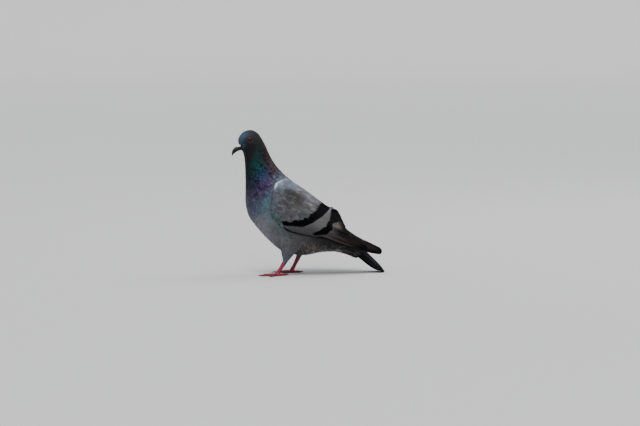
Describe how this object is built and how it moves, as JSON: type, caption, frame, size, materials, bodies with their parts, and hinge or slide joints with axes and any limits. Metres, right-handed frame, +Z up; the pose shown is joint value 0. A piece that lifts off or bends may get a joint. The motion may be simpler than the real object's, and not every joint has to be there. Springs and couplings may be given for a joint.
{
  "type": "feral pigeon",
  "caption": "Life-size standing feral pigeon with folded wings, lowered tail and one foot ahead, made as a still display model.",
  "frame": {"origin": "on the floor, under the middle of the bird's length and width", "axes": "+Z up, -Y the way the bird faces, +X its left side"},
  "size_m": [0.099, 0.2409, 0.2215],
  "materials": {
    "head_feathers": "smooth, slightly glossy small feathers",
    "neck_feathers": "iridescent green to violet",
    "body_feathers": "soft, blue-grey",
    "wing_coverts": "soft, mid-grey with black bars",
    "flight_feathers": "brown-black, fine barbs",
    "tail_feathers": "slate-grey with a dark end band",
    "bill": "dark horn, satin",
    "cere": "chalky white, matte",
    "eye": "orange-red iris, black pupil, wet gloss",
    "leg_skin": "crimson scaled skin, satin",
    "claw": "dark horn"
  },
  "bodies": {
    "root": {"bill_lower": "bill", "bill_upper": "bill", "cere": "cere", "claw_left_hind": "claw", "claw_left_inner": "claw", "claw_left_middle": "claw", "claw_left_outer": "claw", "claw_right_hind": "claw", "claw_right_inner": "claw", "claw_right_middle": "claw", "claw_right_outer": "claw", "eye_left": "eye", "eye_right": "eye", "flight_feathers_left": "flight_feathers", "flight_feathers_right": "flight_feathers", "head": "head_feathers", "neck": "neck_feathers", "tail": "tail_feathers", "tarsus_left": "leg_skin", "tarsus_right": "leg_skin", "thigh_left": "body_feathers", "thigh_right": "body_feathers", "toe_left_hind": "leg_skin", "toe_left_inner": "leg_skin", "toe_left_middle": "leg_skin", "toe_left_outer": "leg_skin", "toe_right_hind": "leg_skin", "toe_right_inner": "leg_skin", "toe_right_middle": "leg_skin", "toe_right_outer": "leg_skin", "trunk": "body_feathers", "wing_left": "wing_coverts", "wing_right": "wing_coverts"}
  },
  "joints": []
}
